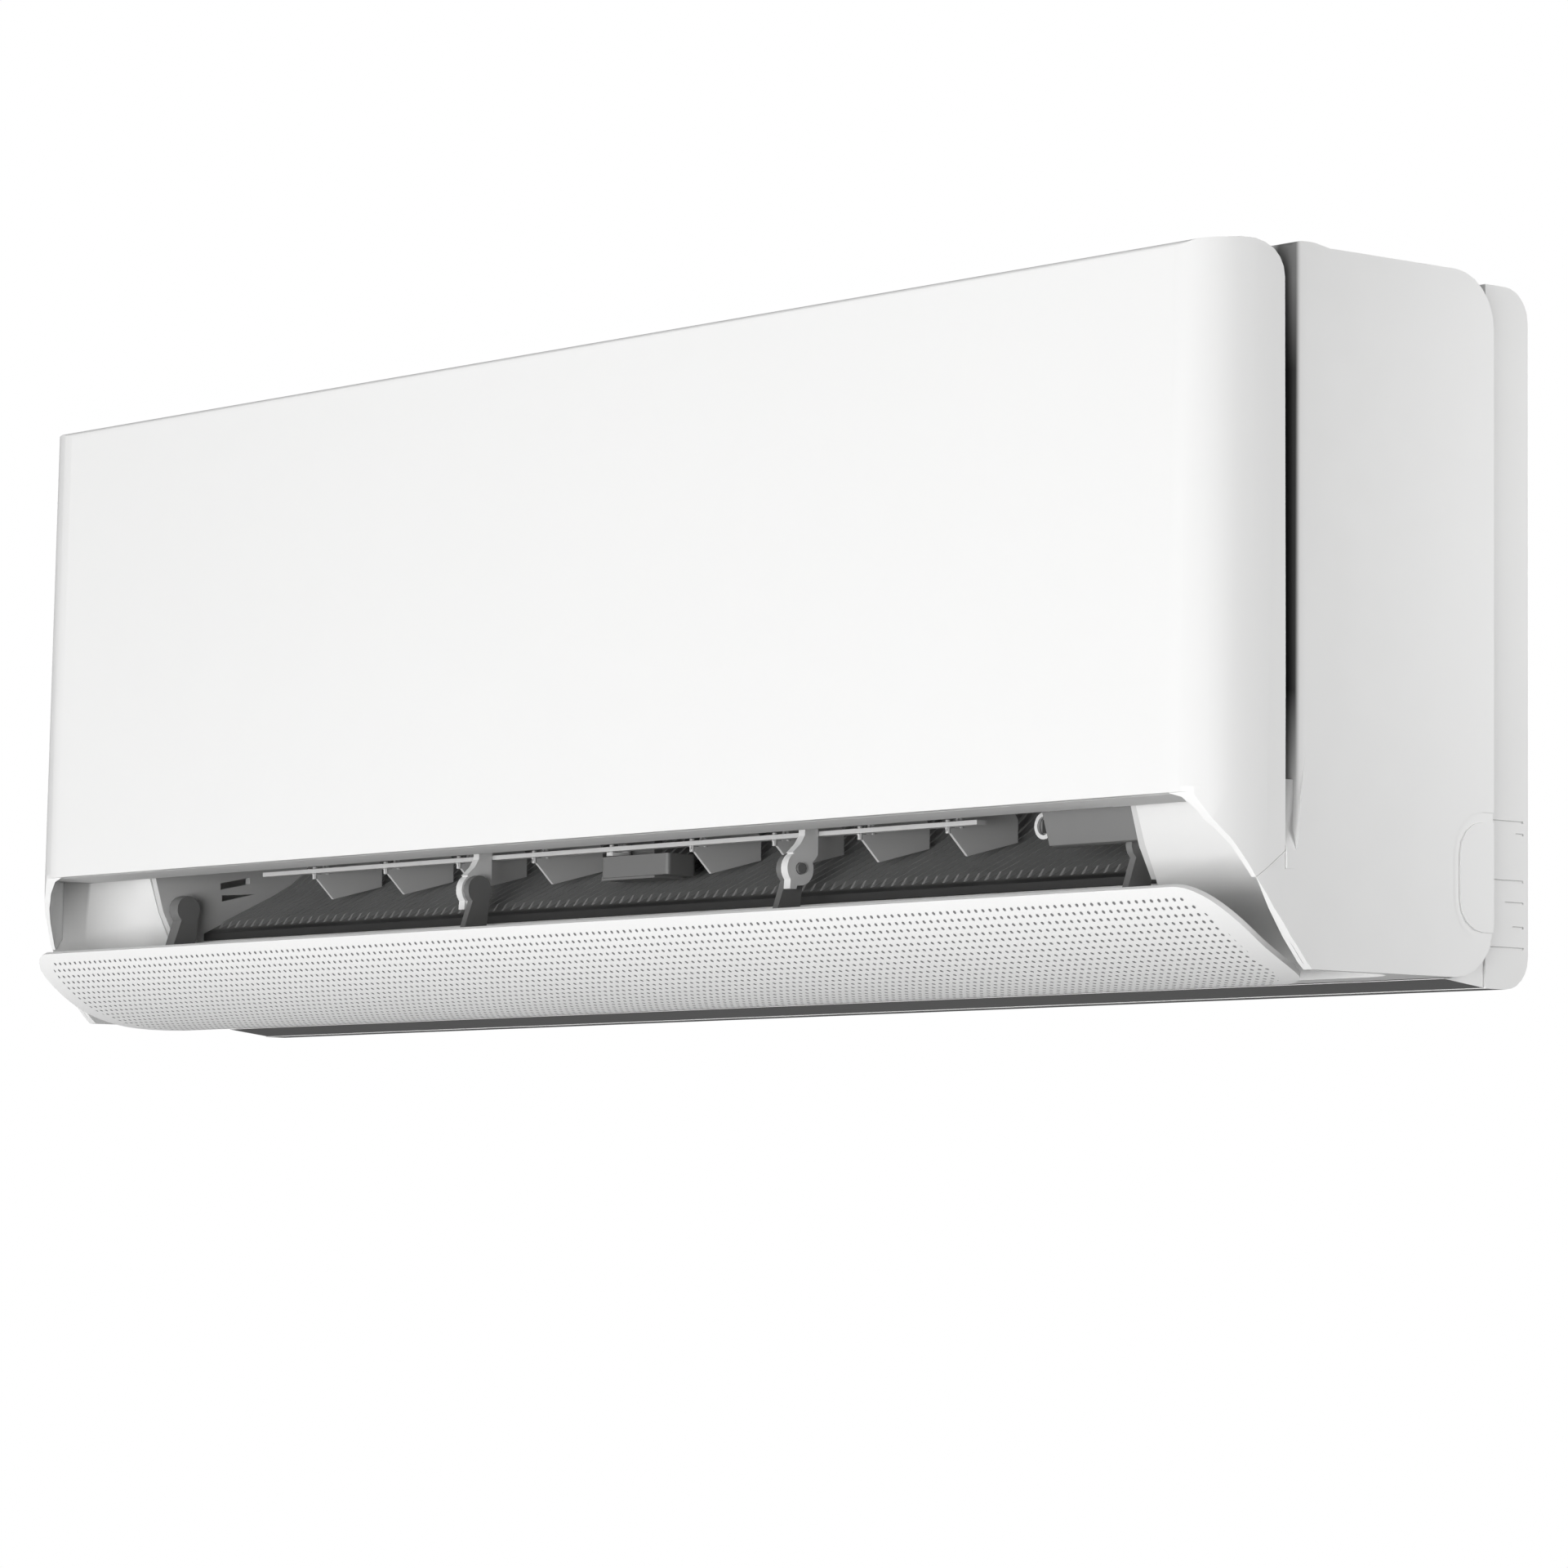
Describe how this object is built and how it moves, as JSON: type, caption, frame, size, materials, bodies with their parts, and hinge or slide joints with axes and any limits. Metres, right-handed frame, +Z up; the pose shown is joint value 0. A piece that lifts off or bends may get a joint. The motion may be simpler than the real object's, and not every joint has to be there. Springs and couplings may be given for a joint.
{
  "type": "wall hung air conditioner indoor unit",
  "caption": "Long wall hung indoor unit with a smooth front panel and a perforated outlet flap swung open over a dark air duct with louvre vanes.",
  "frame": {"origin": "middle of the mounting plate's rear face, on the wall", "axes": "+X along the unit to the right seen from the room, +Y into the wall, +Z up"},
  "size_m": [0.94, 0.192, 0.3293],
  "materials": {
    "case_plastic": "satin white",
    "panel_plastic": "smooth white, soft gloss",
    "flap_plastic": "satin white with a grid of fine holes",
    "chassis_plastic": "satin off-white",
    "light_plastic": "satin light grey",
    "duct_plastic": "ribbed dark grey",
    "pan_plastic": "satin grey",
    "vane_plastic": "satin grey",
    "fan_plastic": "satin black",
    "bearing_rubber": "dull black",
    "motor_steel": "plain steel",
    "plate_steel": "galvanised",
    "fin_aluminium": "fine fins",
    "coil_copper": "drawn copper",
    "nut_brass": "machined brass",
    "filter_mesh": "fine dark mesh",
    "board": "green laminate"
  },
  "bodies": {
    "base": {"mounting_plate": "plate_steel", "rear_chassis": "chassis_plastic", "front_frame": "case_plastic", "duct_floor": "duct_plastic", "drain_pan": "pan_plastic", "support_arm_left": "case_plastic", "support_arm_right": "case_plastic", "flap_motor": "motor_steel", "duct_end_cover": "vane_plastic", "cover_clip": "light_plastic", "vane_motor": "pan_plastic", "fan_bearing": "bearing_rubber", "bearing_holder": "chassis_plastic", "fan_motor": "motor_steel", "motor_band": "chassis_plastic", "motor_cradle": "chassis_plastic", "evaporator_front": "fin_aluminium", "evaporator_rear": "fin_aluminium", "end_plate_left": "coil_copper", "end_plate_right": "coil_copper", "control_box": "chassis_plastic", "control_box_cover": "plate_steel", "circuit_board": "board", "terminal_block": "fan_plastic", "gas_pipe": "coil_copper", "liquid_pipe": "coil_copper", "gas_flare_nut": "nut_brass", "liquid_flare_nut": "nut_brass"},
    "panel": {"front_panel": "panel_plastic"},
    "flap": {"deflector_flap": "flap_plastic", "flap_carrier": "duct_plastic", "flap_end_pin": "case_plastic"},
    "fan": {"crossflow_fan": "fan_plastic", "fan_stub_shaft": "motor_steel", "motor_shaft": "motor_steel"},
    "filter_left": {"air_filter_left": "filter_mesh"},
    "filter_right": {"air_filter_right": "filter_mesh"},
    "tie_bar": {"vane_tie_bar": "light_plastic"},
    "crank": {"vane_crank": "light_plastic"},
    "vane_1": {"vane_1": "vane_plastic"},
    "vane_2": {"vane_2": "vane_plastic"},
    "vane_3": {"vane_3": "vane_plastic"},
    "vane_4": {"vane_4": "vane_plastic"},
    "vane_5": {"vane_5": "vane_plastic"},
    "vane_6": {"vane_6": "vane_plastic"},
    "vane_7": {"vane_7": "vane_plastic"},
    "vane_8": {"vane_8": "vane_plastic"}
  },
  "joints": [
    {"name": "flap_swing", "type": "hinge", "parent": "base", "child": "flap", "pos_m": [0, -0.12, -0.11], "axis": [1, 0, 0], "range_deg": [-30, 0]},
    {"name": "panel_lift", "type": "hinge", "parent": "base", "child": "panel", "pos_m": [0, -0.162, 0.14], "axis": [-1, 0, 0], "range_deg": [0, 60]},
    {"name": "fan_spin", "type": "hinge", "parent": "base", "child": "fan", "pos_m": [0, -0.077, -0.023], "axis": [1, 0, 0], "continuous": true},
    {"name": "filter_left_slide", "type": "slide", "parent": "base", "child": "filter_left", "axis": [0, 0.1948, 0.9808], "range_m": [0, 0.17]},
    {"name": "filter_right_slide", "type": "slide", "parent": "base", "child": "filter_right", "axis": [0, 0.1948, 0.9808], "range_m": [0, 0.17]},
    {"name": "crank_turn", "type": "hinge", "parent": "base", "child": "crank", "pos_m": [-0.06, -0.098, -0.1], "axis": [0, 0, 1], "range_deg": [-27, 27]},
    {"name": "tie_bar_slide", "type": "slide", "parent": "base", "child": "tie_bar", "axis": [1, 0, 0], "range_m": [-0.00349, 0.00349]},
    {"name": "vane_1_turn", "type": "hinge", "parent": "base", "child": "vane_1", "pos_m": [-0.3128, -0.098, -0.1], "axis": [0, 0, 1], "range_deg": [-27, 27]},
    {"name": "vane_2_turn", "type": "hinge", "parent": "base", "child": "vane_2", "pos_m": [-0.2496, -0.098, -0.1], "axis": [0, 0, 1], "range_deg": [-27, 27]},
    {"name": "vane_3_turn", "type": "hinge", "parent": "base", "child": "vane_3", "pos_m": [-0.1864, -0.098, -0.1], "axis": [0, 0, 1], "range_deg": [-27, 27]},
    {"name": "vane_4_turn", "type": "hinge", "parent": "base", "child": "vane_4", "pos_m": [-0.1232, -0.098, -0.1], "axis": [0, 0, 1], "range_deg": [-27, 27]},
    {"name": "vane_5_turn", "type": "hinge", "parent": "base", "child": "vane_5", "pos_m": [0.0032, -0.098, -0.1], "axis": [0, 0, 1], "range_deg": [-27, 27]},
    {"name": "vane_6_turn", "type": "hinge", "parent": "base", "child": "vane_6", "pos_m": [0.0664, -0.098, -0.1], "axis": [0, 0, 1], "range_deg": [-27, 27]},
    {"name": "vane_7_turn", "type": "hinge", "parent": "base", "child": "vane_7", "pos_m": [0.1296, -0.098, -0.1], "axis": [0, 0, 1], "range_deg": [-27, 27]},
    {"name": "vane_8_turn", "type": "hinge", "parent": "base", "child": "vane_8", "pos_m": [0.1928, -0.098, -0.1], "axis": [0, 0, 1], "range_deg": [-27, 27]}
  ],
  "couplings": [
    {"joint": "crank_turn", "follows": "tie_bar_slide", "rad_per_m": 125},
    {"joint": "vane_1_turn", "follows": "tie_bar_slide", "rad_per_m": 125},
    {"joint": "vane_2_turn", "follows": "tie_bar_slide", "rad_per_m": 125},
    {"joint": "vane_3_turn", "follows": "tie_bar_slide", "rad_per_m": 125},
    {"joint": "vane_4_turn", "follows": "tie_bar_slide", "rad_per_m": 125},
    {"joint": "vane_5_turn", "follows": "tie_bar_slide", "rad_per_m": 125},
    {"joint": "vane_6_turn", "follows": "tie_bar_slide", "rad_per_m": 125},
    {"joint": "vane_7_turn", "follows": "tie_bar_slide", "rad_per_m": 125},
    {"joint": "vane_8_turn", "follows": "tie_bar_slide", "rad_per_m": 125}
  ]
}
